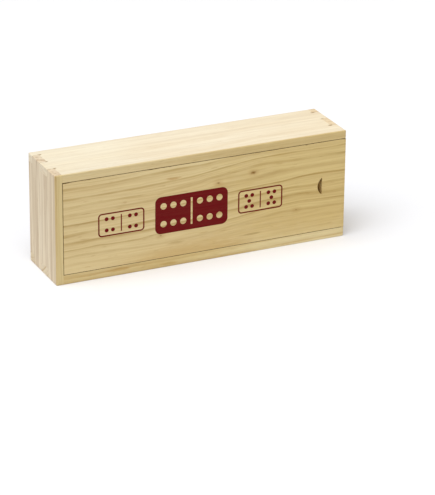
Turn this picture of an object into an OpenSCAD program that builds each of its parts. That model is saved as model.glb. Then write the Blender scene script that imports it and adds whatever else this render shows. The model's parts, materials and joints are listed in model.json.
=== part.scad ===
// Pine storage box for a set of game tiles, with a lid that slides out of one end.
// It stands on a long narrow side, as it does on a shelf: the lid faces -Y and slides along +X,
// the thin base panel faces +Y, and +Z is up. The origin is the middle of the side it stands on.
// All sizes are millimetres.

/* [Box] */
// Outside length, along the slide of the lid
box_length = 192; // [150:1:260]
// Outside height as the box stands, across the lid
box_height = 70; // [56:1:100]
// Outside depth, from the face of the lid to the back rim
box_depth = 43; // [36:1:70]
// Thickness of the upper long wall
upper_thickness = 5; // [5:0.1:8]
// Thickness of the lower long wall
lower_thickness = 6; // [5:0.1:8]
// Thickness of the two end walls
end_thickness = 4.6; // [4.6:0.1:8]

/* [Corner joints] */
// Width of a finger, counted from the front; the one at the back takes what is left
finger_width = 12.2; // [8:0.1:16]

/* [Lid] */
// Thickness of the raised face that shows between the walls
lid_face = 2.5; // [2:0.1:3.5]
// Thickness of the tongue that runs in the grooves
lid_tongue = 3; // [2:0.1:4]
// Depth of the lid grooves in the walls
lid_groove = 3; // [2:0.1:3.5]
// Gap round the face and at the end of the tongues
lid_gap = 0.3; // [0.2:0.05:0.8]
// Clearance on each side of the tongue, and over the open end wall
lid_play = 0.25; // [0.2:0.05:0.6]

/* [Thumb notch] */
// Distance of the straight edge from the open end of the lid
notch_inset = 15.8; // [10:0.1:40]
// Length of the straight edge, across the lid
notch_width = 11.4; // [8:0.1:16]
// How far the curved edge reaches from the straight edge
notch_reach = 3.1; // [2:0.1:5]
// Depth at the straight edge
notch_depth = 3.9; // [2:0.1:4.2]
// Height of the notch above the middle of the lid
notch_rise = 0.2; // [-5:0.1:5]

/* [Base] */
// Thickness of the base panel
base_thickness = 3; // [2:0.5:4]
// Distance of the base panel in from the back rim
base_recess = 2; // [1.5:0.5:5]
// Depth of the base grooves in the walls
base_groove = 2.5; // [1.5:0.1:3]
// Room for the base panel to swell, round its edge
base_gap = 0.3; // [0.1:0.05:0.5]

/* [Hidden] */
$fn = 96;

// Outer faces, and the inner faces of the walls
right = box_length / 2;
left = -right;
front = -box_depth / 2;
back = box_depth / 2;
inner_right = right - end_thickness;
inner_left = left + end_thickness;
inner_low = lower_thickness;
inner_high = box_height - upper_thickness;
finger_count = round(box_depth / finger_width);

// Planes of the lid and of the base panel, from front to back
tongue_front = front + lid_face;
tongue_back = tongue_front + lid_tongue;
base_back = back - base_recess;
base_front = base_back - base_thickness;

// How far a cutter runs past the face that it opens
over = 1;

// The notch is a round cut that dives towards the straight edge
notch_angle = atan(notch_depth / notch_reach);
notch_drop = notch_reach * sin(notch_angle);
notch_radius = (pow(notch_drop, 2) + pow(notch_width / 2, 2)) / (2 * notch_drop);

pine_pale = [0.93, 0.84, 0.65];
pine_warm = [0.87, 0.74, 0.51];
pine_lid = [0.89, 0.77, 0.54];
ply = [0.90, 0.79, 0.60];

// Block from its lowest to its highest corner
module block(low, high) {
    translate(low) cube(high - low);
}

// Front edge of one finger of a corner joint, counted from the front
function finger_front(i) = i == finger_count ? back : front + i * finger_width;

// Slots for the fingers of the other board, at one end of the box: first is the front one
module finger_slots(first, x_low, x_high, z_low, z_high) {
    for (i = [first : 2 : finger_count - 1]) {
        y_low = finger_front(i) - (i == 0 ? over : 0);
        y_high = finger_front(i + 1) + (i == finger_count - 1 ? over : 0);
        block([x_low, y_low, z_low], [x_high, y_high, z_high]);
    }
}

// Groove that the lid slides in, open at the right end
module lid_groove_cut() {
    block([inner_left - lid_groove, tongue_front - lid_play, inner_low - lid_groove],
          [right + over, tongue_back + lid_play, inner_high + lid_groove]);
}

// Groove that holds the base panel on all four sides
module base_groove_cut() {
    block([inner_left - base_groove, base_front, inner_low - base_groove],
          [inner_right + base_groove, base_back, inner_high + base_groove]);
}

// Long wall between two heights: the closed end wall has the front finger at the left,
// and the long wall has it at the right
module long_wall(z_low, z_high) {
    difference() {
        block([left, front, z_low], [right, back, z_high]);
        finger_slots(0, left - over, inner_left, z_low - over, z_high + over);
        finger_slots(1, inner_right, right + over, z_low - over, z_high + over);
        lid_groove_cut();
        base_groove_cut();
    }
}

// End wall with its fingers cut at the top and the bottom: slot_first is the front slot
module end_wall(x_low, y_low, slot_first) {
    x_high = x_low + end_thickness;
    difference() {
        block([x_low, y_low, 0], [x_high, back, box_height]);
        finger_slots(slot_first, x_low - over, x_high + over, -over, inner_low);
        finger_slots(slot_first, x_low - over, x_high + over, inner_high, box_height + over);
        lid_groove_cut();
        base_groove_cut();
    }
}

module upper_wall() {
    color(pine_pale) long_wall(inner_high, box_height);
}

module lower_wall() {
    color(pine_warm) long_wall(0, inner_low);
}

module closed_end_wall() {
    color(pine_pale) end_wall(left, front, 1);
}

// Stops below the lid, which slides out over it
module open_end_wall() {
    color(pine_warm) end_wall(inner_right, tongue_back + lid_play, 0);
}

module base_panel() {
    reach = base_groove - base_gap;
    color(ply) block([inner_left - reach, base_front, inner_low - reach],
                     [inner_right + reach, base_back, inner_high + reach]);
}

// Half-moon cut: its floor rises from the straight edge to the curved one
module thumb_notch() {
    edge = right - notch_inset;
    length = 4 * notch_radius;
    intersection() {
        translate([edge - notch_reach + notch_radius * sin(notch_angle),
                   front - notch_radius * cos(notch_angle),
                   (inner_low + inner_high) / 2 + notch_rise])
            rotate([0, 0, notch_angle]) rotate([0, 90, 0])
                cylinder(r = notch_radius, h = length, center = true);
        block([edge - length, front - length, 0], [edge, front + length, box_height]);
    }
}

module sliding_lid() {
    reach = lid_groove - lid_gap;
    color(pine_lid) difference() {
        union() {
            block([inner_left + lid_gap, front, inner_low + lid_gap],
                  [right, tongue_front + lid_tongue / 2, inner_high - lid_gap]);
            block([inner_left - reach, tongue_front, inner_low - reach],
                  [right, tongue_back, inner_high + reach]);
        }
        thumb_notch();
    }
}

upper_wall();
lower_wall();
closed_end_wall();
open_end_wall();
base_panel();
sliding_lid();
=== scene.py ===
"""Looks of a pine tile box with a sliding lid: its boards, print, floor, light and camera.

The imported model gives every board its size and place. Each board here is worked from a copy of its
node: the copy is merged, its edges are eased as sandpaper leaves them, and it is dressed in wood whose
growth rings run through the solid, so that faces, edges and end grain agree. Lengths are metres unless
a name ends in _mm, and the patterns of the wood are drawn in millimetres.
"""

from __future__ import annotations

import json
import logging
import math
from collections.abc import Callable
from dataclasses import dataclass, field
from enum import Enum
from typing import ClassVar

import bpy
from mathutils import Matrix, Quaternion, Vector

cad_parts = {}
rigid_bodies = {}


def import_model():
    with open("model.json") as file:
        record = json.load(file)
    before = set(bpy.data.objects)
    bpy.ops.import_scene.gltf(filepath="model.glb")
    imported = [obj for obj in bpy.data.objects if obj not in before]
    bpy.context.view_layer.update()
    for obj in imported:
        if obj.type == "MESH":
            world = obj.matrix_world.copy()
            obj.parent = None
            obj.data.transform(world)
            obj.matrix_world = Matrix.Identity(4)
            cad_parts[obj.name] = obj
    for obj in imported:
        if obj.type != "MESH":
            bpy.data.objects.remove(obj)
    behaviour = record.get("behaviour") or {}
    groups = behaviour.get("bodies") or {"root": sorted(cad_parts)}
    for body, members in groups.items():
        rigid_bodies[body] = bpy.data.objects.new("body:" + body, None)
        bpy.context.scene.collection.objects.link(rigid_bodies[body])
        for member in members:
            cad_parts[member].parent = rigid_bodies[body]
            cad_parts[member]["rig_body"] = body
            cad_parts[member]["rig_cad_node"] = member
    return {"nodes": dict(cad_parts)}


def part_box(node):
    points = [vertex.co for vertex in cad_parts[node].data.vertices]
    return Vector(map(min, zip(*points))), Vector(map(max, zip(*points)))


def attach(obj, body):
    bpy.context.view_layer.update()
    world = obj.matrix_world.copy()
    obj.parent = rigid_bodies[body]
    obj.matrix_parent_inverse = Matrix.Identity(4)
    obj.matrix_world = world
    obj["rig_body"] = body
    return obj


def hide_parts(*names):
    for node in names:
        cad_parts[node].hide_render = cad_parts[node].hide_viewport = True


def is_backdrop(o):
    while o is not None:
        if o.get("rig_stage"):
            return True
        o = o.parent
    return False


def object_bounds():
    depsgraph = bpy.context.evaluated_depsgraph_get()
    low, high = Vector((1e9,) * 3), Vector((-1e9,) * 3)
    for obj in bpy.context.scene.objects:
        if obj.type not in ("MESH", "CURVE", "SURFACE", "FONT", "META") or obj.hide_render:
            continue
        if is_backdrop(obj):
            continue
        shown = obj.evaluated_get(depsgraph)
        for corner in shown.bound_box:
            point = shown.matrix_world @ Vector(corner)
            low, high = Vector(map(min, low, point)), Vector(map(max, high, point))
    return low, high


LOG = logging.getLogger("tile_box")
MM = 0.001
FRONT_MM = -21.5

Vec3 = tuple[float, float, float]
Colour = tuple[float, float, float]
Span = tuple[float, float]
Socket = bpy.types.NodeSocket
Sockets = dict[str, Socket]
Feed = Socket | float | tuple


class Grain(Enum):
    """The way a board's fibres run, as an axis of the row frame."""

    ALONG = (1.0, 0.0, 0.0)
    UPRIGHT = (0.0, 0.0, 1.0)

    @property
    def turn(self) -> Vec3:
        """The turn about X, Y and Z that brings the fibres to X."""
        return (0.0, math.pi / 2, 0.0) if self is Grain.UPRIGHT else (0.0, 0.0, 0.0)


class Pen:
    """Adds shader nodes to one tree and joins them."""

    def __init__(self, tree: bpy.types.NodeTree) -> None:
        """Keep the tree that the nodes go into."""
        self.tree = tree

    def feed(self, socket: Socket, value: Feed) -> None:
        """Link a socket to another, or set its value.

        Args:
            socket: The input to fill.
            value: An output socket, a number or a tuple.
        """
        if isinstance(value, Socket):
            self.tree.links.new(value, socket)
        else:
            socket.default_value = value

    def node(self, kind: str, feeds: dict | None = None, **settings: object) -> bpy.types.Node:
        """Add a node, set its properties and fill its inputs.

        Args:
            kind: The node's Blender type name.
            feeds: What goes into each input, by its name or number.
            **settings: Properties and their values.

        Returns:
            The new node.
        """
        made = self.tree.nodes.new(kind)
        for name, value in settings.items():
            setattr(made, name, value)
        for key, value in (feeds or {}).items():
            self.feed(made.inputs[key], value)
        return made

    def math(self, operation: str, *values: Feed, clamp: bool = False) -> Socket:
        """Join numbers with a Math node.

        Args:
            operation: What the node does.
            *values: The numbers.
            clamp: Whether the result is held between 0 and 1.

        Returns:
            The result.
        """
        feeds = dict(enumerate(values))
        return self.node("ShaderNodeMath", feeds, operation=operation, use_clamp=clamp).outputs[0]

    def plus(self, first: Feed, second: Feed) -> Socket:
        """Return the sum of two numbers."""
        return self.math("ADD", first, second)

    def less(self, first: Feed, second: Feed) -> Socket:
        """Return the first number less the second."""
        return self.math("SUBTRACT", first, second)

    def times(self, first: Feed, second: Feed) -> Socket:
        """Return the product of two numbers."""
        return self.math("MULTIPLY", first, second)

    def over(self, first: Feed, second: Feed) -> Socket:
        """Return the first number over the second."""
        return self.math("DIVIDE", first, second)

    def more(self, value: Feed, factor: Feed, base: Feed) -> Socket:
        """Return a number times a factor, and a base more."""
        return self.math("MULTIPLY_ADD", value, factor, base)

    def most(self, first: Feed, second: Feed) -> Socket:
        """Return the larger of two numbers."""
        return self.math("MAXIMUM", first, second)

    def least(self, first: Feed, second: Feed) -> Socket:
        """Return the smaller of two numbers."""
        return self.math("MINIMUM", first, second)

    def vector(self, operation: str, *values: Feed) -> Socket:
        """Join vectors with a Vector Math node.

        Args:
            operation: What the node does.
            *values: The vectors.

        Returns:
            The resulting vector, or the number of an operation that gives one.
        """
        made = self.node("ShaderNodeVectorMath", dict(enumerate(values)), operation=operation)
        return made.outputs["Value" if operation in ("LENGTH", "DOT_PRODUCT") else "Vector"]

    def away(self, place: Feed, centre: Feed) -> Socket:
        """Return the vector from a centre to a place."""
        return self.vector("SUBTRACT", place, centre)

    def drawn_out(self, place: Feed, share: float) -> Socket:
        """Return a place with only a share of its X, where a pattern comes out longer along X."""
        return self.vector("MULTIPLY", place, (share, 1.0, 1.0))

    def split(self, value: Feed) -> tuple[Socket, ...]:
        """Return the three parts of a vector."""
        return tuple(self.node("ShaderNodeSeparateXYZ", {0: value}).outputs)

    def join(self, x: Feed, y: Feed, z: Feed) -> Socket:
        """Return a vector made of three numbers."""
        return self.node("ShaderNodeCombineXYZ", {0: x, 1: y, 2: z}).outputs[0]

    def distance(self, first: Feed, second: Feed) -> Socket:
        """Return the length of a vector that has only these two parts."""
        return self.vector("LENGTH", self.join(first, 0.0, second))

    def ramp(self, value: Feed, low: float, high: float, start: float = 0.0, end: float = 1.0) -> Socket:
        """Ease from start to end while a value goes from low to high.

        Args:
            value: The number to map.
            low: Value at which the result is start.
            high: Value at which the result is end.
            start: Result at low and below.
            end: Result at high and above.

        Returns:
            The eased number.
        """
        feeds = {"Value": value, "From Min": low, "From Max": high, "To Min": start, "To Max": end}
        return self.node("ShaderNodeMapRange", feeds, interpolation_type="SMOOTHSTEP").outputs["Result"]

    def fall(self, value: Feed, low: float, high: float, top: float = 1.0) -> Socket:
        """Ease from the top down to 0 while a value goes from low to high."""
        return self.ramp(value, low, high, top, 0.0)

    def ridge(self, value: Feed, rise: Span, fall: Span, top: float = 1.0) -> Socket:
        """Ease up over one span of a value and down again over another."""
        return self.times(self.ramp(value, *rise, 0.0, top), self.fall(value, *fall))

    def noise(self, place: Feed, seed: Feed, scale: float, detail: float, rough: float = 0.5) -> Socket:
        """Add a seeded noise.

        Args:
            place: The position to read the noise at.
            seed: Picks one pattern out of many.
            scale: Waves per unit of the position.
            detail: Octaves of finer noise.
            rough: Share that each finer octave adds.

        Returns:
            The noise, from 0 to 1.
        """
        feeds = {"Vector": place, "W": seed, "Scale": scale, "Detail": detail, "Roughness": rough}
        return self.node("ShaderNodeTexNoise", feeds, noise_dimensions="4D").outputs[0]

    def sway(self, place: Feed, seed: Feed, reach: Feed, scale: float, detail: float) -> Socket:
        """Wander to and fro with a noise.

        Args:
            place: The position to read the noise at.
            seed: Picks one pattern out of many.
            reach: How far the vector may go from end to end.
            scale: Waves per unit of the position.
            detail: Octaves of finer noise.

        Returns:
            A vector that is 0 on average.
        """
        colour = self.noise(place, seed, scale, detail).node.outputs["Color"]
        feeds = {0: self.away(colour, (0.5, 0.5, 0.5)), "Scale": reach}
        return self.node("ShaderNodeVectorMath", feeds, operation="SCALE").outputs["Vector"]

    def mix(self, share: Feed, first: Feed, second: Feed, blend: str = "MIX") -> Socket:
        """Blend two colours.

        Args:
            share: Share of the second colour.
            first: The colour underneath.
            second: The colour on top.
            blend: The blend mode.

        Returns:
            The blended colour.
        """
        made = self.node("ShaderNodeMix", data_type="RGBA", blend_type=blend)
        sockets = {s.identifier: s for s in made.inputs}
        self.feed(sockets["Factor_Float"], share)
        self.feed(sockets["A_Color"], opaque(first))
        self.feed(sockets["B_Color"], opaque(second))
        return next(s for s in made.outputs if s.identifier == "Result_Color")

    def toned(self, colour: Feed, tone: Colour, share: Feed) -> Socket:
        """Multiply a colour by a tone, as far as a share says."""
        return self.mix(share, colour, tone, "MULTIPLY")


def opaque(colour: Feed) -> Feed:
    """Give a plain colour its alpha, and leave a socket as it is."""
    return (*colour, 1.0) if isinstance(colour, tuple) else colour


class Effect:
    """A shader node group that finishes place with their own values. It works in millimetres."""

    name: ClassVar[str] = "effect"
    vectors: ClassVar[tuple[str, ...]] = ("Position",)
    numbers: ClassVar[dict[str, float]] = {}
    outputs: ClassVar[tuple[str, ...]] = ("Mask",)

    def __init__(self) -> None:
        """Start without the group, which is made when a finish first needs it."""
        self.group: bpy.types.NodeTree | None = None

    def build(self) -> bpy.types.NodeTree:
        """Make the group's sockets and draw its nodes, once.

        Returns:
            The group.
        """
        if self.group is None:
            self.group = bpy.data.node_groups.new(self.name, "ShaderNodeTree")
            sockets = self.group.interface
            for name in self.vectors:
                sockets.new_socket(name, in_out="INPUT", socket_type="NodeSocketVector")
            for name, value in self.numbers.items():
                made = sockets.new_socket(name, in_out="INPUT", socket_type="NodeSocketFloat")
                made.default_value = value
            for name in self.outputs:
                sockets.new_socket(name, in_out="OUTPUT", socket_type="NodeSocketFloat")
            pen = Pen(self.group)
            given = pen.node("NodeGroupInput").outputs
            pen.node("NodeGroupOutput", self.draw(pen, {s.name: s for s in given if s.name}))
        return self.group

    def draw(self, pen: Pen, given: Sockets) -> Sockets:
        """Add the group's nodes.

        Args:
            pen: Draws in the group.
            given: The group's inputs by name.

        Returns:
            The group's outputs by name.
        """
        raise NotImplementedError

    def place(self, pen: Pen, holder: object, **values: Feed) -> Sockets:
        """Put the effect in a material, and leave an input that nothing fills at its default.

        Args:
            pen: Draws in the material.
            holder: Has fields that are named as the inputs are, with or without _mm.
            **values: Inputs that don't come from the holder.

        Returns:
            The effect's outputs by name.
        """
        made = pen.node("ShaderNodeGroup", node_tree=self.build())
        for socket in made.inputs:
            key = socket.name.lower().replace(" ", "_")
            held = getattr(holder, f"{key}_mm", getattr(holder, key, None))
            value = values.get(key, held)
            if value is not None:
                pen.feed(socket, value)
        return {s.name: s for s in made.outputs}


class PineGrain(Effect):
    """Growth rings round a pith line that runs near X, with fibres along X."""

    name = "pine_grain"
    vectors = ("Position", "Pith")
    numbers = {
        "Spacing": 3.5, "Uneven": 2.4, "Wander": 4.0, "Ripple": 1.6, "Slope": 0.0, "Rise": 0.0,
        "Fine": 0.0, "Seed": 0.0,
    }
    outputs = ("Latewood", "Fibre", "Cloud", "Pores", "Streak")

    # The share of X that each pattern reads, which draws it out along the fibres
    cloud_share = 0.22
    fibre_share = 0.035
    pore_share = 0.12
    streak_share = 0.02
    fade_share = 0.035

    # Where in a ring its flank, its dark line and a fine line rise and fall, and how high the flank gets
    flank = ((0.0, 0.9), (0.9, 1.0), 0.35)
    line = ((0.58, 0.84), (0.86, 0.98))
    fine_line = ((0.50, 0.84), (0.86, 1.0))
    fine_lines_per_ring = 2.7

    # The span of a noise in which lines fade and fine lines thin out, and what is left and what is full
    fading = (0.34, 0.64, 0.15, 1.0)
    fine_in_clouds = (0.36, 0.60, 0.25, 1.0)

    # How far apart the rings read that noise, the strength of the faintest ring, and a pore's span
    fade_step = 3.7
    faintest_ring = 0.45
    pore_span = (0.66, 0.76)

    # Where along the board the rings rise, counted from the pith's own place
    rise_span = (-12.0, 50.0)

    def draw(self, pen: Pen, given: Sockets) -> Sockets:
        """Draw the rings, fibres, soft clouds of tone, pores and broad streaks.

        Args:
            pen: Draws in the group.
            given: The place, the pith and the habits of one board's wood.

        Returns:
            The masks.
        """
        place, seed = given["Position"], given["Seed"]
        long_place = pen.drawn_out(place, self.cloud_share)
        cloud = pen.noise(long_place, seed, scale=0.045, detail=2.0)
        x, radius = self.from_pith(pen, given, long_place)
        slow = pen.noise(pen.join(radius, 0.0, 0.0), seed, scale=0.09, detail=1.0)
        count = pen.more(slow, given["Uneven"], pen.over(radius, given["Spacing"]))
        between = pen.math("FRACT", pen.times(count, self.fine_lines_per_ring))
        some = pen.times(pen.ramp(cloud, *self.fine_in_clouds), given["Fine"])
        late = pen.more(pen.ridge(between, *self.fine_line), some, self.rings(pen, count, x, seed))
        thread = pen.drawn_out(place, self.fibre_share)
        dash = pen.noise(pen.drawn_out(place, self.pore_share), seed, scale=1.1, detail=1.0)
        band = pen.drawn_out(place, self.streak_share)
        return {
            "Latewood": pen.least(late, 1.0),
            "Fibre": pen.noise(thread, seed, scale=1.5, detail=3.0, rough=0.62),
            "Cloud": cloud,
            "Pores": pen.ramp(dash, *self.pore_span),
            "Streak": pen.noise(band, seed, scale=0.42, detail=3.0, rough=0.6),
        }

    def from_pith(self, pen: Pen, given: Sockets, long_place: Socket) -> tuple[Socket, Socket]:
        """Measure a place from the pith, whose line wanders, ripples, slopes and rises.

        Args:
            pen: Draws in the group.
            given: The group's inputs by name.
            long_place: The place, drawn out along the fibres.

        Returns:
            How far along the pith it is, and how far from it.
        """
        drift = pen.sway(long_place, given["Seed"], given["Wander"], scale=0.02, detail=1.0)
        ripple = pen.sway(long_place, given["Seed"], given["Ripple"], scale=0.11, detail=2.0)
        bent = pen.vector("ADD", pen.vector("ADD", given["Position"], drift), ripple)
        x, y, z = pen.split(pen.away(bent, given["Pith"]))
        lifted = pen.times(pen.ramp(x, *self.rise_span), given["Rise"])
        lean = pen.less(pen.more(x, given["Slope"], z), lifted)
        squares = pen.plus(pen.math("POWER", y, 2.0), pen.math("POWER", lean, 2.0))
        return x, pen.math("POWER", squares, 0.5)

    def rings(self, pen: Pen, count: Socket, x: Socket, seed: Socket) -> Socket:
        """Draw the rings, each with its own strength, and fading here and there.

        Args:
            pen: Draws in the group.
            count: How many rings a place is from the pith.
            x: How far along the pith it is.
            seed: Picks one board's rings.

        Returns:
            The mask of the dark growth.
        """
        phase = pen.math("FRACT", count)
        ring = pen.plus(pen.math("FLOOR", count), seed)
        chance = pen.node("ShaderNodeTexWhiteNoise", {"W": ring}, noise_dimensions="1D")
        strength = pen.ramp(chance.outputs["Value"], 0.0, 1.0, self.faintest_ring, 1.0)
        along = pen.join(pen.times(x, self.fade_share), pen.times(ring, self.fade_step), 0.0)
        faded = pen.ramp(pen.noise(along, seed, scale=1.0, detail=3.0), *self.fading)
        line = pen.times(pen.ridge(phase, *self.line), faded)
        return pen.times(pen.plus(pen.ridge(phase, *self.flank), line), strength)


class PinKnot(Effect):
    """A small knot, round about a line along Y, that pushes the grain aside."""

    name = "pin_knot"
    vectors = ("Position", "Centre")
    numbers = {"Size": 1.5, "Spread": 7.0, "Push": 0.5}
    outputs = ("Shift", "Core", "Halo")
    core_shape = (0.62, 0.0, 1.0)
    push_shape = (0.34, 0.0, 1.0)
    ragged_mm = 1.1
    halo_mm = 3.2
    seed = 3.0

    def draw(self, pen: Pen, given: Sockets) -> Sockets:
        """Draw how far the grain is pushed across the board, the dark core and the stained halo.

        Args:
            pen: Draws in the group.
            given: The place, the knot's centre and size, and how far and how hard it pushes.

        Returns:
            The shift, and the masks of the core and the halo.
        """
        away = pen.away(given["Position"], given["Centre"])
        torn = pen.sway(away, self.seed, self.ragged_mm, scale=0.55, detail=2.0)
        flat = pen.vector("MULTIPLY", pen.vector("ADD", away, torn), self.core_shape)
        distance = pen.vector("LENGTH", flat)
        core = pen.math("SUBTRACT", 1.0, pen.over(distance, given["Size"]), clamp=True)
        wide = pen.vector("LENGTH", pen.vector("MULTIPLY", away, self.push_shape))
        near = pen.math("POWER", pen.over(wide, given["Spread"]), 2.0)
        pushed = pen.math("EXPONENT", pen.times(near, -1.0))
        shift = pen.times(pen.times(pen.split(away)[2], pushed), given["Push"])
        return {"Shift": shift, "Core": core, "Halo": pen.fall(distance, 0.0, self.halo_mm)}


class TilePrint(Effect):
    """One printed tile with two rows of pips in each half, flat in XZ."""

    name = "tile_print"
    vectors = ("Position", "Centre")
    numbers = {"Half length": 20.0, "Line": 0.9, "Solid": 0.0, "Columns": 3.0, "Middle pip": 0.0}
    outputs = ("Ink",)
    blur_mm = 0.07

    # Sizes as shares of half the tile's length
    half_height = 0.5
    corner_radius = 0.16
    half_middle = 0.5
    pip_pitch = 0.27
    pip_radius = 0.085
    row_height = 0.24
    bar_half_length = 0.36
    bar_half_width = 0.025

    def draw(self, pen: Pen, given: Sockets) -> Sockets:
        """Draw a rim, a middle bar and pips, or a solid tile that leaves the bar and the pips bare.

        Args:
            pen: Draws in the group.
            given: The place, the tile's centre and size, and its kind.

        Returns:
            The mask of the ink.
        """
        half = given["Half length"]
        x, _, z = pen.split(pen.away(given["Position"], given["Centre"]))
        side, up = pen.math("ABSOLUTE", x), pen.math("ABSOLUTE", z)
        corner = pen.times(half, self.corner_radius)
        past_x = pen.most(pen.less(side, pen.less(half, corner)), 0.0)
        inner_z = pen.less(pen.times(half, self.half_height), corner)
        past_z = pen.most(pen.less(up, inner_z), 0.0)
        rim = pen.less(pen.distance(past_x, past_z), corner)
        body = self.inside(pen, rim)
        hollow = self.inside(pen, pen.plus(rim, given["Line"]))
        bar_side = pen.less(side, pen.times(half, self.bar_half_width))
        bar_end = pen.less(up, pen.times(half, self.bar_half_length))
        bar = self.inside(pen, pen.most(bar_side, bar_end))
        marks = pen.most(self.pips(pen, given, side, up), bar)
        outline = pen.most(pen.less(body, hollow), marks)
        filled = pen.math("SUBTRACT", body, marks, clamp=True)
        return {"Ink": pen.more(pen.less(filled, outline), given["Solid"], outline)}

    def inside(self, pen: Pen, gap: Feed) -> Socket:
        """Return 1 inside an edge and 0 outside, from the signed gap to it."""
        return pen.fall(gap, -self.blur_mm, self.blur_mm)

    def pips(self, pen: Pen, given: Sockets, side: Socket, up: Socket) -> Socket:
        """Draw the rows of pips, and the lone one in the middle of each half where it has one.

        Args:
            pen: Draws in the group.
            given: The group's inputs by name.
            side: How far a place is from the bar.
            up: How far it is from the tile's middle line.

        Returns:
            The mask of the pips.
        """
        half = given["Half length"]
        pitch = pen.times(half, self.pip_pitch)
        radius = pen.times(half, self.pip_radius)
        from_middle = pen.less(side, pen.times(half, self.half_middle))
        last = pen.less(given["Columns"], 1.0)
        shift = pen.times(last, 0.5)
        step = pen.math("ROUND", pen.plus(pen.over(from_middle, pitch), shift))
        column = pen.less(pen.least(pen.most(step, 0.0), last), shift)
        pip_x = pen.less(from_middle, pen.times(column, pitch))
        pip_z = pen.less(up, pen.times(half, self.row_height))
        rows = self.inside(pen, pen.less(pen.distance(pip_x, pip_z), radius))
        lone = self.inside(pen, pen.less(pen.distance(from_middle, up), radius))
        return pen.most(rows, pen.times(lone, given["Middle pip"]))


class Blotch(Effect):
    """A soft patch with a ragged rim, an ellipsoid."""

    name = "blotch"
    vectors = ("Position", "Centre", "Radii")
    numbers = {"Ragged": 0.6, "Seed": 0.0}
    rim_share = 0.25
    rim_span = (0.3, 1.0)

    def draw(self, pen: Pen, given: Sockets) -> Sockets:
        """Draw the patch, strongest at its centre.

        Args:
            pen: Draws in the group.
            given: The place, the patch's centre and radii, and how ragged its rim is.

        Returns:
            The mask.
        """
        away = pen.away(given["Position"], given["Centre"])
        reach = pen.vector("LENGTH", pen.vector("DIVIDE", away, given["Radii"]))
        drawn_out = pen.drawn_out(given["Position"], self.rim_share)
        patchy = pen.noise(drawn_out, given["Seed"], scale=0.5, detail=3.0)
        rim = pen.more(pen.less(patchy, 0.5), given["Ragged"], reach)
        return {"Mask": pen.fall(rim, *self.rim_span)}


class SoftBox(Effect):
    """The inside of a box with soft sides."""

    name = "soft_box"
    vectors = ("Position", "Low", "High")
    numbers = {"Soft": 0.5}

    def draw(self, pen: Pen, given: Sockets) -> Sockets:
        """Draw a mask that rises from each side inwards.

        Args:
            pen: Draws in the group.
            given: The place, the box's lowest and highest corner, and how wide its soft sides are.

        Returns:
            The mask.
        """
        from_low = pen.away(given["Position"], given["Low"])
        from_high = pen.away(given["High"], given["Position"])
        x, y, z = pen.split(pen.vector("MINIMUM", from_low, from_high))
        nearest = pen.least(pen.least(x, y), z)
        return {"Mask": pen.math("DIVIDE", nearest, given["Soft"], clamp=True)}


class OuterEffect(Effect):
    """An effect whose place is measured from the outer planes of the whole box."""

    vectors = ("Position", "Centre", "Half")

    @staticmethod
    def inward(pen: Pen, given: Sockets) -> tuple[Socket, ...]:
        """Return how far in a place is from the nearer plane, on each axis."""
        away = pen.vector("ABSOLUTE", pen.away(given["Position"], given["Centre"]))
        return pen.split(pen.away(given["Half"], away))

    @staticmethod
    def depth(pen: Pen, given: Sockets) -> Socket:
        """Return how far a place is behind the front plane."""
        away = pen.away(given["Position"], given["Centre"])
        return pen.split(pen.vector("ADD", away, given["Half"]))[1]


class EdgeWear(OuterEffect):
    """Where the outer edges of the box are handled."""

    name = "edge_wear"
    numbers = {"Reach": 2.2, "Seed": 0.0}
    patchy_reach = (0.3, 0.7, 0.25, 1.3)

    def draw(self, pen: Pen, given: Sockets) -> Sockets:
        """Draw a mask that is strongest where two outer planes meet.

        Args:
            pen: Draws in the group.
            given: The place, the box's centre and half size, and how far the wear reaches.

        Returns:
            The mask.
        """
        x, y, z = self.inward(pen, given)
        low = pen.least(pen.most(x, y), pen.most(y, z))
        second = pen.least(low, pen.most(x, z))
        patchy = pen.noise(given["Position"], given["Seed"], scale=0.12, detail=3.0)
        reach = pen.times(given["Reach"], pen.ramp(patchy, *self.patchy_reach))
        return {"Mask": pen.math("SUBTRACT", 1.0, pen.over(second, reach), clamp=True)}


class GroovePaintedShade(OuterEffect):
    """Painted shade inside the lid's gap and groove: between two depths, past the rim and within reach of
    it.
    """

    name = "groove_shade"
    numbers = {"Start": 0.18, "End": 5.4, "Rim": 1.5, "Reach": 9.0}

    # The span before each limit in which the mask changes
    soft_start = (-0.16, 0.0)
    soft_end = (-0.3, 0.0)
    soft_rim = (-0.4, 0.0)
    soft_reach = (-1.0, 0.0)

    def draw(self, pen: Pen, given: Sockets) -> Sockets:
        """Draw a mask that leaves out the outer faces and what lies behind the lid.

        Args:
            pen: Draws in the group.
            given: The place, the box's centre and half size, and the shade's four limits.

        Returns:
            The mask.
        """
        depth = self.depth(pen, given)
        x, _, z = self.inward(pen, given)
        nearest = pen.least(x, z)
        past_rim = pen.ramp(pen.less(nearest, given["Rim"]), *self.soft_rim)
        in_reach = pen.fall(pen.less(nearest, given["Reach"]), *self.soft_reach)
        entered = pen.ramp(pen.less(depth, given["Start"]), *self.soft_start)
        passed = pen.fall(pen.less(depth, given["End"]), *self.soft_end)
        return {"Mask": pen.times(pen.times(entered, passed), pen.times(past_rim, in_reach))}


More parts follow.
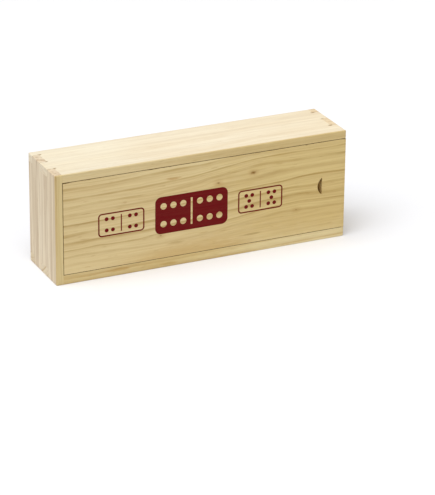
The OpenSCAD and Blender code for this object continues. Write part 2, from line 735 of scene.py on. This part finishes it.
class JointMarks(OuterEffect):
    """Torn fibres and old glue where fingers meet on the long walls' outer faces."""

    name = "joint_marks"
    numbers = {"Finger": 12.2, "End wall": 4.6, "Seed": 0.0}

    # A dab at a finger's corner, and the noise that tears its rim
    dab_length_mm = 1.5
    dab_width_mm = 0.8
    dab_rim = (0.2, 1.0)
    torn_middle = 0.45
    torn_reach = 2.6

    # A line along a finger's side: the share of the tear that it follows, its rim and its strength
    line_torn = 0.25
    line_rim = (0.05, 0.3, 0.6)
    finger_end = (0.0, 0.2)

    # How deep the marks go under the face, and how far in from the front and the back they start
    face_span = (0.7, 1.0)
    front_span = (4.0, 5.0)

    def draw(self, pen: Pen, given: Sockets) -> Sockets:
        """Draw spots at the inner corners of the fingers and broken lines along their sides.

        Args:
            pen: Draws in the group.
            given: The place, the box's centre and half size, the width of a finger and its length.

        Returns:
            The mask.
        """
        x, y, z = self.inward(pen, given)
        depth = self.depth(pen, given)
        count = pen.math("ROUND", pen.over(depth, given["Finger"]))
        beside = pen.math("ABSOLUTE", pen.less(depth, pen.times(count, given["Finger"])))
        ragged = pen.noise(given["Position"], given["Seed"], scale=0.55, detail=3.0)
        torn = pen.times(pen.less(ragged, self.torn_middle), self.torn_reach)
        from_tip = pen.less(x, given["End wall"])
        reach = pen.distance(pen.over(from_tip, self.dab_length_mm), pen.over(beside, self.dab_width_mm))
        dab = pen.fall(pen.less(reach, torn), *self.dab_rim)
        broken = pen.fall(pen.less(beside, pen.times(torn, self.line_torn)), *self.line_rim)
        line = pen.times(broken, pen.fall(from_tip, *self.finger_end))
        on_face = pen.times(pen.most(dab, line), pen.fall(z, *self.face_span))
        return {"Mask": pen.times(on_face, pen.ramp(y, *self.front_span))}


GRAIN = PineGrain()
KNOT = PinKnot()
PRINT = TilePrint()
BLOTCH = Blotch()
SOFT_BOX = SoftBox()
WEAR = EdgeWear()
GROOVE_PAINTED_SHADE = GroovePaintedShade()
JOINT = JointMarks()


@dataclass(frozen=True)
class Knot:
    """A pin knot: its centre on the board, its size, and how far and how hard it pushes the grain."""

    centre_mm: Vec3
    size_mm: float
    spread_mm: float
    push: float
    depth: float


@dataclass(frozen=True)
class PrintedTile:
    """A tile drawn in ink: its centre, half its length, its pips, and 1 for solid with bare pips."""

    centre_mm: Vec3
    half_length_mm: float
    columns: float
    middle_pip: float = 0.0
    solid: float = 0.0
    line_mm: float = 0.9


@dataclass(frozen=True)
class Patch:
    """A soft patch on a board: its centre, its radii and how ragged its rim is."""

    centre_mm: Vec3
    radii_mm: Vec3
    ragged: float = field(default=0.6, kw_only=True)


@dataclass(frozen=True)
class StainAndPaintedLight(Patch):
    """A patch in which a tone multiplies the wood's colour; used for real stains and for painted shade and
    light.
    """

    tone: Colour


@dataclass(frozen=True)
class PaintedLightAndShade:
    """A box with soft sides in which a tone multiplies the wood's colour: painted light above 1, painted
    shade below.
    """

    low_mm: Vec3
    high_mm: Vec3
    soft_mm: float
    tone: Colour


@dataclass(frozen=True)
class Wood:
    """The colours of early and late growth, and the tint that clouds them."""

    early: Colour
    late: Colour
    tint: Colour


PALE = Wood((0.875, 0.77, 0.58), (0.64, 0.46, 0.25), (0.83, 0.69, 0.47))
GOLD = Wood((0.80, 0.658, 0.385), (0.45, 0.30, 0.10), (0.74, 0.575, 0.305))
WARM = Wood(PALE.early, PALE.late, GOLD.tint)
PINK = Wood((0.855, 0.76, 0.60), (0.58, 0.45, 0.31), (0.76, 0.63, 0.46))
PLY = Wood((0.80, 0.66, 0.45), (0.66, 0.49, 0.29), (0.76, 0.61, 0.40))


@dataclass(frozen=True)
class PineFinish:
    """Sanded bare pine for one board. The grain's inputs are filled by the fields of their names."""

    name: str
    wood: Wood
    pith_mm: Vec3
    spacing_mm: float
    seed: float
    slot: str = "pine_wall"
    grain: Grain = Grain.ALONG
    end_span: Span = (0.55, 0.9)

    # Habits of the rings
    uneven: float = 2.4
    wander_mm: float = 4.0
    ripple_mm: float = 1.6
    slope: float = 0.0
    rise_mm: float = 0.0
    fine: float = 0.0
    calm: Patch | None = None
    calm_late: float = 0.3

    # How strongly each mask colours the wood, the span of the mask that does, and the tone
    contrast: float = 0.6
    end_contrast: float = 0.25
    cloud: float = 0.55
    cloud_span: Span = (0.35, 0.72)
    fibre: float = 0.2
    fibre_span: Span = (0.30, 0.72)
    fibre_tone: Colour = (0.66, 0.52, 0.36)
    streak: float = 0.2
    streak_span: Span = (0.38, 0.68)
    streak_tone: Colour = (0.62, 0.52, 0.42)
    pores: float = 0.28
    pore_tone: Colour = (0.55, 0.38, 0.22)
    end: float = 0.75
    end_tone: Colour = (0.95, 0.88, 0.78)
    halo: float = 0.5
    halo_tone: Colour = (0.62, 0.42, 0.24)
    core: float = 0.9
    core_span: Span = (0.05, 0.75)
    core_colour: Colour = (0.24, 0.13, 0.035)

    # Age and use, with painted warmth on the front, painted shade in the groove, and painted light and
    # shade
    # Yellowed front, partly painted light: it makes the front faces more golden than the top
    yellow: Colour = (0.93, 0.87, 0.74)
    yellow_span_mm: Span = (0.3, 1.5)
    worn: float = 0.35
    worn_tone: Colour = (0.93, 0.86, 0.76)
    # Painted shade in the gap and groove round the lid
    groove_tone: Colour = (0.24, 0.13, 0.03)
    groove_end_mm: float = 5.4
    jointed: bool = True
    joint_tone: Colour = (0.42, 0.32, 0.20)
    knots: tuple[Knot, ...] = ()
    # Stains, among them patches of painted light and painted shade, and boxes of painted light and shade
    stains: tuple[StainAndPaintedLight, ...] = ()
    shades: tuple[PaintedLightAndShade, ...] = ()

    # The print
    print_tiles: tuple[PrintedTile, ...] = ()
    ink: Colour = (0.15, 0.002, 0.005)
    ink_depth_mm: Span = (0.2, 0.3)
    ink_cover: tuple[float, ...] = (0.35, 0.62, 1.0, 0.985)
    ink_roughness: float = -0.12

    # The surface, with its relief as shares of relief_mm
    roughness: float = 0.56
    fibre_roughness: float = 0.16
    specular: float = 0.2
    relief_mm: float = 0.03
    late_relief: float = 0.45
    fibre_relief: float = 0.8
    pore_relief: float = 0.5

    def material(self, outer: OuterBox) -> bpy.types.Material:
        """Make the finish as a material.

        Args:
            outer: The box whose outer edges are worn and whose corners are jointed.

        Returns:
            The material.
        """
        made = bpy.data.materials.new(self.name)
        made.use_nodes = True
        pen = Pen(made.node_tree)
        coordinates = pen.node("ShaderNodeTexCoord").outputs
        in_mm = {"Vector": coordinates["Object"], "Scale": (1 / MM, 1 / MM, 1 / MM)}
        straight = pen.node("ShaderNodeMapping", in_mm).outputs["Vector"]
        place, core, halo = self.bend_round_knots(pen, straight)
        turned = pen.node("ShaderNodeMapping", {"Vector": place, "Rotation": self.grain.turn})
        figure = GRAIN.place(pen, self, position=turned.outputs["Vector"])
        if self.calm:
            mask = BLOTCH.place(pen, self.calm, position=straight, seed=self.seed)["Mask"]
            kept = pen.more(mask, self.calm_late - 1.0, 1.0)
            figure["Latewood"] = pen.times(figure["Latewood"], kept)
        facing = pen.vector("DOT_PRODUCT", coordinates["Normal"], self.grain.value)
        end = pen.ramp(pen.math("ABSOLUTE", facing), *self.end_span)
        colour = self.colour(pen, figure, end, core, halo)
        depth = pen.plus(pen.split(straight)[1], outer.half_mm[1])
        colour = self.used(pen, colour, straight, depth, outer)
        rough = pen.more(figure["Fibre"], self.fibre_roughness, self.roughness)
        if self.print_tiles:
            ink = pen.times(self.printed(pen, straight, figure), pen.fall(depth, *self.ink_depth_mm))
            colour = pen.mix(ink, colour, self.ink)
            rough = pen.more(ink, self.ink_roughness, rough)
        surface = {
            "Base Color": colour,
            "Roughness": rough,
            "Specular IOR Level": self.specular,
            "Normal": self.relief(pen, figure),
        }
        shader = made.node_tree.nodes["Principled BSDF"]
        for name, value in surface.items():
            pen.feed(shader.inputs[name], value)
        return made

    def bend_round_knots(self, pen: Pen, place: Feed) -> tuple[Feed, Feed, Feed]:
        """Push the grain round each knot.

        Args:
            pen: Draws in the material.
            place: The position in millimetres.

        Returns:
            The bent position, the mask of the cores and the mask of the halos.
        """
        core: Feed = 0.0
        halo: Feed = 0.0
        for knot in self.knots:
            out = KNOT.place(pen, knot, position=place)
            place = pen.away(place, pen.join(0.0, 0.0, out["Shift"]))
            core = pen.most(core, pen.times(out["Core"], knot.depth))
            halo = pen.most(halo, pen.times(out["Halo"], knot.depth))
        return place, core, halo

    def colour(self, pen: Pen, figure: Sockets, end: Feed, core: Feed, halo: Feed) -> Socket:
        """Colour the bare wood and its knots.

        Args:
            pen: Draws in the material.
            figure: The grain's masks.
            end: Mask of the end grain.
            core: Mask of the knots' cores.
            halo: Mask of the knots' halos.

        Returns:
            The colour.
        """
        contrast = pen.more(end, self.end_contrast, self.contrast)
        late = pen.math("MULTIPLY", figure["Latewood"], contrast, clamp=True)
        colour = pen.mix(late, self.wood.early, self.wood.late)
        clouded = pen.ramp(figure["Cloud"], *self.cloud_span, 0.0, self.cloud)
        colour = pen.mix(clouded, colour, self.wood.tint)
        fine = pen.ramp(figure["Fibre"], *self.fibre_span, 0.0, self.fibre)
        colour = pen.toned(colour, self.fibre_tone, fine)
        broad = pen.ramp(figure["Streak"], *self.streak_span, 0.0, self.streak)
        colour = pen.toned(colour, self.streak_tone, broad)
        colour = pen.toned(colour, self.pore_tone, pen.times(figure["Pores"], self.pores))
        colour = pen.toned(colour, self.end_tone, pen.times(end, self.end))
        if self.knots:
            colour = pen.toned(colour, self.halo_tone, pen.times(halo, self.halo))
            colour = pen.mix(pen.ramp(core, *self.core_span, 0.0, self.core), colour, self.core_colour)
        return colour

    def used(self, pen: Pen, colour: Feed, place: Feed, depth: Feed, outer: OuterBox) -> Feed:
        """Tint the front (partly painted warmth), wear edges, paint shade in the groove, lay marks, stains,
        painted light and shade.

        Args:
            pen: Draws in the material.
            colour: The colour of the bare wood.
            place: The position in millimetres.
            depth: How far it is behind the box's front.
            outer: The whole box.

        Returns:
            The colour.
        """
        # Yellowing, partly painted warmth: the front faces are made more golden than the top.
        colour = pen.toned(colour, self.yellow, pen.fall(depth, *self.yellow_span_mm))
        wear = WEAR.place(pen, outer, position=place, seed=self.seed)["Mask"]
        colour = pen.toned(colour, self.worn_tone, pen.times(wear, self.worn))
        # Painted shade in the lid's gap and groove.
        painted_groove_shade = GROOVE_PAINTED_SHADE.place(pen, outer, position=place, end=self.groove_end_mm)["Mask"]
        colour = pen.toned(colour, self.groove_tone, painted_groove_shade)
        if self.jointed:
            marks = JOINT.place(pen, outer, position=place, seed=self.seed)["Mask"]
            colour = pen.toned(colour, self.joint_tone, marks)
        # Stains, and patches of painted light and painted shade.
        for number, tinted_patch in enumerate(self.stains):
            mask = BLOTCH.place(pen, tinted_patch, position=place, seed=float(number))["Mask"]
            colour = pen.toned(colour, tinted_patch.tone, mask)
        # Painted light and painted shade in soft boxes.
        for painted_box in self.shades:
            mask = SOFT_BOX.place(pen, painted_box, position=place)["Mask"]
            colour = pen.toned(colour, painted_box.tone, mask)
        return colour

    def printed(self, pen: Pen, place: Feed, figure: Sockets) -> Socket:
        """Lay the printed tiles, a little thinner where the grain is open.

        Args:
            pen: Draws in the material.
            place: The position in millimetres.
            figure: The grain's masks.

        Returns:
            The share of ink.
        """
        ink: Feed = 0.0
        for tile in self.print_tiles:
            ink = pen.most(ink, PRINT.place(pen, tile, position=place)["Ink"])
        return pen.times(ink, pen.ramp(figure["Fibre"], *self.ink_cover))

    def relief(self, pen: Pen, figure: Sockets) -> Socket:
        """Raise the late growth and the fibres, and sink the pores.

        Args:
            pen: Draws in the material.
            figure: The grain's masks.

        Returns:
            The surface's normal.
        """
        fibres = pen.times(figure["Fibre"], self.fibre_relief)
        ridges = pen.more(figure["Latewood"], self.late_relief, fibres)
        height = pen.less(ridges, pen.times(figure["Pores"], self.pore_relief))
        feeds = {"Strength": 1.0, "Distance": self.relief_mm * MM, "Height": height}
        return pen.node("ShaderNodeBump", feeds).outputs["Normal"]


@dataclass(frozen=True)
class OuterBox:
    """The whole box at rest, which says which edges of a board lie on its outside."""

    low: Vector
    high: Vector
    end_wall_mm: float
    finger_mm: float = 12.2
    near: float = 0.02 * MM

    def planes_of(self, first: Vector, second: Vector) -> int:
        """Count the outer planes that an edge lies in.

        Args:
            first: One end.
            second: The other end.

        Returns:
            The number of planes, from 0 to 2.
        """
        return sum(
            all(abs(point[axis] - limit[axis]) < self.near for point in (first, second))
            for axis in range(3)
            for limit in (self.low, self.high)
        )

    @property
    def centre_mm(self) -> Vec3:
        """The box's centre in millimetres."""
        return tuple((self.low + self.high) / 2 / MM)

    @property
    def half_mm(self) -> Vec3:
        """Half the box's size in millimetres."""
        return tuple((self.high - self.low) / 2 / MM)


@dataclass
class Bench:
    """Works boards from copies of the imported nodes, and dresses them."""

    nodes: dict[str, bpy.types.Object]
    outer: OuterBox
    merge_distance: float = 0.01 * MM
    flat_angle: float = math.radians(0.4)
    sharp_angle: float = math.radians(30)
    smooth_angle: float = math.radians(50)
    segments: int = 3
    flat_weight: int = 90

    def board(
        self, node: str, name: str, finish: PineFinish, radius: Callable[[Vector, Vector], float], body: str
    ) -> bpy.types.Object:
        """Work a board, dress it and set it on its body.

        Args:
            node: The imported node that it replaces.
            name: The board's name.
            finish: Its wood.
            radius: Gives the radius for an edge's two ends.
            body: The body that it rides on.

        Returns:
            The board.
        """
        board = self.copy_of(self.nodes[node], name)
        self.ease(board, radius)
        board.data.materials.append(finish.material(self.outer))
        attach(board, body)
        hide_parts(node)
        return board

    @staticmethod
    def only(piece: bpy.types.Object) -> None:
        """Select one piece and make it active.

        Args:
            piece: The piece that the next operators act on.
        """
        bpy.ops.object.select_all(action="DESELECT")
        piece.select_set(True)
        bpy.context.view_layer.objects.active = piece

    def copy_of(self, node: bpy.types.Object, name: str) -> bpy.types.Object:
        """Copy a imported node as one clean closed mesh.

        Args:
            node: The node's object.
            name: The new piece's name.

        Returns:
            The new piece, at the origin and on no body.
        """
        self.only(node)
        bpy.ops.object.duplicate()
        piece = bpy.context.view_layer.objects.active
        piece.name = name
        piece.parent = None
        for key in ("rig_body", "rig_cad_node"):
            if key in piece:
                del piece[key]
        piece.data.materials.clear()
        bpy.ops.object.mode_set(mode="EDIT")
        bpy.ops.mesh.select_all(action="SELECT")
        bpy.ops.mesh.remove_doubles(threshold=self.merge_distance)
        bpy.ops.mesh.dissolve_limited(angle_limit=self.flat_angle)
        bpy.ops.mesh.select_all(action="DESELECT")
        bpy.ops.object.mode_set(mode="OBJECT")
        return piece

    def ease(self, piece: bpy.types.Object, radius: Callable[[Vector, Vector], float]) -> None:
        """Round the sharp edges, each by its own radius.

        Args:
            piece: The board.
            radius: Gives the radius for an edge's two ends.
        """
        mesh = piece.data
        points = [v.co.copy() for v in mesh.vertices]
        sharp = self.sharp_edges(mesh)
        radii = [
            radius(points[e.vertices[0]], points[e.vertices[1]]) if e.index in sharp else 0.0
            for e in mesh.edges
        ]
        largest = max(radii)
        weights = mesh.attributes.new("bevel_weight_edge", "FLOAT", "EDGE")
        weights.data.foreach_set("value", [r / largest for r in radii])
        self.only(piece)
        bevel = piece.modifiers.new("eased_edges", "BEVEL")
        bevel.limit_method = "WEIGHT"
        bevel.width = largest
        bevel.segments = self.segments
        bevel.miter_outer = "MITER_ARC"
        bpy.ops.object.modifier_apply(modifier=bevel.name)
        bpy.ops.object.shade_smooth_by_angle(angle=self.smooth_angle)
        normals = piece.modifiers.new("flat_faces", "WEIGHTED_NORMAL")
        normals.keep_sharp = True
        normals.weight = self.flat_weight
        bpy.ops.object.modifier_apply(modifier=normals.name)

    def sharp_edges(self, mesh: bpy.types.Mesh) -> set[int]:
        """Find the edges whose two faces meet sharply.

        Args:
            mesh: A closed mesh.

        Returns:
            The edges' numbers.
        """
        faces: dict[tuple[int, int], list[Vector]] = {}
        for face in mesh.polygons:
            for key in face.edge_keys:
                faces.setdefault(key, []).append(face.normal)
        return {
            e.index
            for e in mesh.edges
            if len(faces[e.key]) == 2 and faces[e.key][0].angle(faces[e.key][1], 0.0) >= self.sharp_angle
        }


@dataclass
class Case:
    """The five glued boards that hold the tiles."""

    bench: Bench
    corner_radius: float = 0.55 * MM
    joint_radius: float = 0.10 * MM
    inner_radius: float = 0.20 * MM
    body: str = "case"

    def finishes(self) -> dict[str, PineFinish]:
        """Choose each board's own wood.

        Returns:
            The finishes by node.
        """
        return {
            "upper_wall": PineFinish(
                name="upper_wall_pine", wood=PALE, pith_mm=(0.0, 14.0, -30.0), spacing_mm=2.6, seed=1.0,
                slope=0.012, contrast=0.30, yellow=(0.865, 0.81, 0.63), fibre=0.25,
                end_tone=(0.91, 0.92, 0.98),
                stains=(
                    StainAndPaintedLight((95.0, FRONT_MM, 67.0), (150.0, 1.5, 40.0), (0.91, 0.88, 0.78)),
                    # Painted light: a paler, bluer top face by the left end
                    StainAndPaintedLight((-78.0, 3.0, 70.0), (60.0, 60.0, 4.0), (1.02, 1.05, 1.08), ragged=0.3),
                ),
            ),
            "lower_wall": PineFinish(
                name="lower_wall_pine", wood=WARM, pith_mm=(0.0, 30.0, 44.0), spacing_mm=3.0, seed=2.0,
                slope=-0.015, contrast=0.7, yellow=(0.99, 0.98, 0.80), end_tone=(0.91, 0.92, 0.98),
                stains=(
                    StainAndPaintedLight((-96.0, FRONT_MM, 3.0), (150.0, 3.0, 40.0), (0.86, 0.80, 0.70)),
                    StainAndPaintedLight((-56.0, FRONT_MM, 3.6), (9.0, 4.0, 1.3), (0.86, 0.76, 0.62), ragged=1.6),
                    StainAndPaintedLight((-22.0, FRONT_MM, 2.0), (7.0, 4.0, 1.0), (0.88, 0.80, 0.66), ragged=1.6),
                ),
            ),
            "closed_end_wall": PineFinish(
                name="closed_end_pine", wood=PINK, pith_mm=(0.0, 70.0, 60.0), spacing_mm=4.6, seed=3.0,
                grain=Grain.UPRIGHT, contrast=0.9, streak=0.6, yellow=(0.91, 0.86, 0.61),
                end_tone=(0.97, 0.92, 0.84),
            ),
            "open_end_wall": PineFinish(
                name="open_end_pine", wood=PALE, pith_mm=(0.0, -60.0, -70.0), spacing_mm=3.0, seed=4.0,
                grain=Grain.UPRIGHT, contrast=0.65, end_tone=(0.90, 0.80, 0.66),
            ),
            "base_panel": PineFinish(
                name="base_ply", slot="birch_ply", wood=PLY, pith_mm=(0.0, -140.0, 30.0), spacing_mm=1.1,
                seed=5.0, wander_mm=13.0, contrast=0.55, relief_mm=0.015, jointed=False,
            ),
        }

    def radius(self, first: Vector, second: Vector) -> float:
        """Choose how much an edge is eased, from the number of outer planes that it lies in."""
        planes = self.bench.outer.planes_of(first, second)
        return (self.inner_radius, self.joint_radius, self.corner_radius)[planes]

    def build(self) -> list[bpy.types.Object]:
        """Work and dress the boards.

        Returns:
            The five boards.
        """
        return [
            self.bench.board(node, f"{node}_board", finish, self.radius, self.body)
            for node, finish in self.finishes().items()
        ]


@dataclass
class SlidingLid:
    """The lid: a raised face on tongues, with a thumb notch and a printed row of tiles."""

    bench: Bench
    face_radius: float = 0.22 * MM
    tongue_radius: float = 0.30 * MM
    notch_radius: float = 0.10 * MM
    notch_from_end: float = 10 * MM
    notch_from_side: float = 15 * MM
    node: str = "sliding_lid"
    body: str = "lid"

    def finish(self) -> PineFinish:
        """Choose the lid's wood, knots, stains and print.

        Returns:
            Choose the lid's wood, knots, stains and print, and the painted light and shade at its gap and
            in its notch.
        """
        return PineFinish(
            name="lid_pine", slot="pine_lid", wood=GOLD, pith_mm=(0.0, 34.0, -70.0), spacing_mm=4.9,
            seed=7.0, uneven=1.6, wander_mm=6.0, ripple_mm=4.0, slope=-0.006, rise_mm=4.0, fine=0.35,
            contrast=0.78, yellow=(1.0, 1.0, 1.0), jointed=False, specular=0.08,
            # Painted shade: a thin dark rim on the lid's edges where they are seen through the gap
            groove_tone=(0.26, 0.15, 0.05), groove_end_mm=0.95,
            calm=Patch((0.0, FRONT_MM, 2.0), (400.0, 60.0, 25.0), ragged=0.5),
            stains=(
                StainAndPaintedLight((95.0, FRONT_MM, 40.0), (130.0, 8.0, 60.0), (0.96, 0.935, 0.80)),
                StainAndPaintedLight((-10.0, FRONT_MM, 5.0), (60.0, 8.0, 11.0), (0.92, 0.86, 0.76)),
                StainAndPaintedLight((-20.0, FRONT_MM, 56.7), (6.0, 4.0, 1.2), (0.80, 0.68, 0.56), ragged=1.2),
                StainAndPaintedLight((-19.0, FRONT_MM, 15.0), (7.0, 4.0, 1.0), (0.84, 0.79, 0.72), ragged=1.2),
                StainAndPaintedLight((31.0, FRONT_MM, 12.0), (9.0, 4.0, 1.0), (0.80, 0.75, 0.68), ragged=1.4),
                # Painted shadow: a thin dark line along the gap above the lid
                StainAndPaintedLight((0.0, -21.6, 65.2), (500.0, 0.4, 0.6), (0.24, 0.16, 0.06), ragged=6.0),
                StainAndPaintedLight((-20.0, FRONT_MM, 60.0), (55.0, 8.0, 14.0), (1.03, 1.045, 1.06)),
            ),
            # Painted light and shade in the thumb notch, one box each
            shades=(
                # painted shade on the notch's sloping floor
                PaintedLightAndShade((75.0, -21.46, 28.0), (80.1, -18.6, 43.0), 0.25, (0.23, 0.16, 0.055)),
                # painted shadow of the notch's upper edge
                PaintedLightAndShade((77.0, -21.42, 38.6), (80.4, -16.0, 43.0), 0.6, (0.62, 0.50, 0.34)),
                # painted shade in the notch's lower end
                PaintedLightAndShade((75.0, -21.42, 28.0), (80.4, -16.0, 32.2), 0.6, (0.72, 0.62, 0.46)),
                # painted light on the notch's deep floor
                PaintedLightAndShade((77.0, -18.4, 28.0), (80.1, -16.0, 38.6), 0.3, (1.22, 1.25, 1.3)),
                # painted light on the notch's straight wall
                PaintedLightAndShade((80.0, -21.2, 28.0), (84.0, -16.0, 38.6), 0.15, (1.25, 1.30, 1.40)),
            ),
            knots=(
                Knot((33.1, FRONT_MM, 52.1), size_mm=1.5, spread_mm=7.0, push=0.55, depth=0.85),
                Knot((9.7, FRONT_MM, 49.4), size_mm=1.0, spread_mm=5.0, push=0.4, depth=0.7),
                Knot((-28.4, FRONT_MM, 21.1), size_mm=0.8, spread_mm=4.0, push=0.3, depth=0.6),
                Knot((62.6, FRONT_MM, 23.0), size_mm=0.8, spread_mm=4.0, push=0.3, depth=0.5),
            ),
            print_tiles=(
                PrintedTile((-8.0, 0.0, 34.0), half_length_mm=24.0, columns=3.0, solid=1.0),
                PrintedTile((-54.0, 0.0, 34.0), half_length_mm=15.0, columns=2.0),
                PrintedTile((38.0, 0.0, 34.0), half_length_mm=15.0, columns=2.0, middle_pip=1.0),
            ),
        )

    def radius(self, first: Vector, second: Vector) -> float:
        """Choose how much an edge is eased.

        Args:
            first: One end of the edge.
            second: The other end.

        Returns:
            The radius: crisp round the notch, softer elsewhere.
        """
        low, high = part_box(self.node)
        middle = (first + second) / 2
        from_ends = low.x + self.notch_from_end < middle.x < high.x - self.notch_from_end
        from_sides = low.z + self.notch_from_side < middle.z < high.z - self.notch_from_side
        if from_ends and from_sides:
            return self.notch_radius
        on_front = abs(middle.y - low.y) < self.bench.outer.near
        return self.face_radius if on_front else self.tongue_radius

    def build(self) -> bpy.types.Object:
        """Work and dress the lid."""
        return self.bench.board(self.node, "lid_board", self.finish(), self.radius, self.body)


def direction(azimuth_deg: float, elevation_deg: float) -> Vector:
    """Point from the box to a place round it.

    Args:
        azimuth_deg: How far the place is turned from the front to the right.
        elevation_deg: How high it is.

    Returns:
        The direction, with a length of 1.
    """
    azimuth, elevation = math.radians(azimuth_deg), math.radians(elevation_deg)
    level = math.cos(elevation)
    return Vector((math.sin(azimuth) * level, -math.cos(azimuth) * level, math.sin(elevation)))


@dataclass(frozen=True)
class Lamp:
    """A distant soft lamp: where it stands in the sky, its strength, colour and spread."""

    name: str
    azimuth_deg: float
    elevation_deg: float
    strength: float
    colour: Colour
    spread_deg: float = 60.0

    def build(self) -> None:
        """Hang the lamp."""
        towards = direction(self.azimuth_deg, self.elevation_deg)
        bpy.ops.object.light_add(type="SUN", location=towards)
        lamp = bpy.context.view_layer.objects.active
        lamp.name = self.name
        lamp.rotation_mode = "QUATERNION"
        lamp.rotation_quaternion = (-towards).to_track_quat("-Z", "Y")
        lamp.data.energy = self.strength
        lamp.data.angle = math.radians(self.spread_deg)
        lamp.data.color = self.colour


@dataclass
class Studio:
    """A white floor and sky, and soft lamps."""

    floor_size: float = 20.0
    floor_seen: Colour = (0.88, 0.865, 0.865)
    floor_colour: Colour = (0.70, 0.66, 0.58)
    floor_roughness: float = 0.9
    floor_specular: float = 0.1
    sky_colour: Colour = (1.0, 1.0, 1.0)
    sky_strength: float = 0.36
    lamps: tuple[Lamp, ...] = (
        Lamp("key_lamp", azimuth_deg=-60.0, elevation_deg=68.0, strength=2.75, colour=(0.93, 0.96, 1.0)),
        Lamp("left_lamp", azimuth_deg=-90.0, elevation_deg=12.0, strength=0.35, colour=(0.65, 0.80, 1.0)),
        Lamp("front_lamp", azimuth_deg=10.0, elevation_deg=15.0, strength=0.30, colour=(1.0, 0.90, 0.50)),
    )

    def build(self) -> None:
        """Lay the floor, set the sky and hang the lamps."""
        self.floor()
        self.sky()
        for lamp in self.lamps:
            lamp.build()

    def floor(self) -> None:
        """Lay a plain floor that looks white where it is seen."""
        bpy.ops.object.select_all(action="DESELECT")
        bpy.ops.mesh.primitive_plane_add(size=self.floor_size, location=(0.0, 0.0, 0.0))
        floor = bpy.context.view_layer.objects.active
        floor.name = "floor"
        paint = bpy.data.materials.new("floor_white")
        paint.use_nodes = True
        shader = paint.node_tree.nodes["Principled BSDF"]
        pen = Pen(paint.node_tree)
        colour = pen.mix(self.seen(pen), self.floor_colour, self.floor_seen)
        pen.feed(shader.inputs["Base Color"], colour)
        shader.inputs["Roughness"].default_value = self.floor_roughness
        shader.inputs["Specular IOR Level"].default_value = self.floor_specular
        floor.data.materials.append(paint)
        floor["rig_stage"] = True

    @staticmethod
    def seen(pen: Pen) -> Socket:
        """Tell whether a surface is seen, directly or in or through another.

        Args:
            pen: Draws in the material or the sky.

        Returns:
            1 where it is seen and 0 where it only lights others.
        """
        rays = pen.node("ShaderNodeLightPath").outputs
        mirrored = pen.most(rays["Is Glossy Ray"], rays["Is Transmission Ray"])
        return pen.most(rays["Is Camera Ray"], mirrored)

    def sky(self) -> None:
        """Make the sky pure white where it is seen, and soft where it lights."""
        world = bpy.data.worlds.new("sky")
        world.use_nodes = True
        bpy.context.scene.world = world
        world.node_tree.nodes.clear()
        pen = Pen(world.node_tree)
        strength = pen.ramp(self.seen(pen), 0.0, 1.0, self.sky_strength, 1.0)
        feeds = {"Color": opaque(self.sky_colour), "Strength": strength}
        light = pen.node("ShaderNodeBackground", feeds).outputs["Background"]
        pen.node("ShaderNodeOutputWorld", {"Surface": light})


@dataclass(frozen=True)
class PhotoCamera:
    """The camera of the reference view, round a point that it looks at."""

    azimuth_deg: float = -25.24
    elevation_deg: float = 23.05
    roll_deg: float = 0.554
    distance: float = 1.588
    aim: Vec3 = (0.0107, -0.0189, 0.0056)
    lens_mm: float = 189.1
    sensor_mm: float = 36.0
    nearest: float = 0.05
    farthest: float = 100.0

    def build(self) -> None:
        """Set the camera up and make it the scene's own."""
        back = direction(self.azimuth_deg, self.elevation_deg)
        bpy.ops.object.camera_add(location=Vector(self.aim) + back * self.distance)
        camera = bpy.context.view_layer.objects.active
        camera.name = "photo_camera"
        camera.rotation_mode = "QUATERNION"
        level = (-back).to_track_quat("-Z", "Y")
        camera.rotation_quaternion = level @ Quaternion((0.0, 0.0, 1.0), math.radians(self.roll_deg))
        camera.data.lens = self.lens_mm
        camera.data.sensor_width = self.sensor_mm
        camera.data.clip_start = self.nearest
        camera.data.clip_end = self.farthest
        bpy.context.scene.camera = camera


def main() -> None:
    """Build the camera, the box and its stage, and report each piece."""
    logging.basicConfig(level=logging.INFO, format="%(name)s: %(message)s")
    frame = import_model()
    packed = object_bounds()
    end_low, end_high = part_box("closed_end_wall")
    outer = OuterBox(*packed, end_wall_mm=(end_high.x - end_low.x) / MM)
    bench = Bench(frame["nodes"], outer)
    PhotoCamera().build()
    boards = Case(bench).build()
    lid = SlidingLid(bench).build()
    for piece in (*boards, lid):
        LOG.info("%s: %d faces", piece.name, len(piece.data.polygons))
    Studio().build()
    bpy.context.scene.view_settings.view_transform = "Standard"


if __name__ == "__main__":
    main()
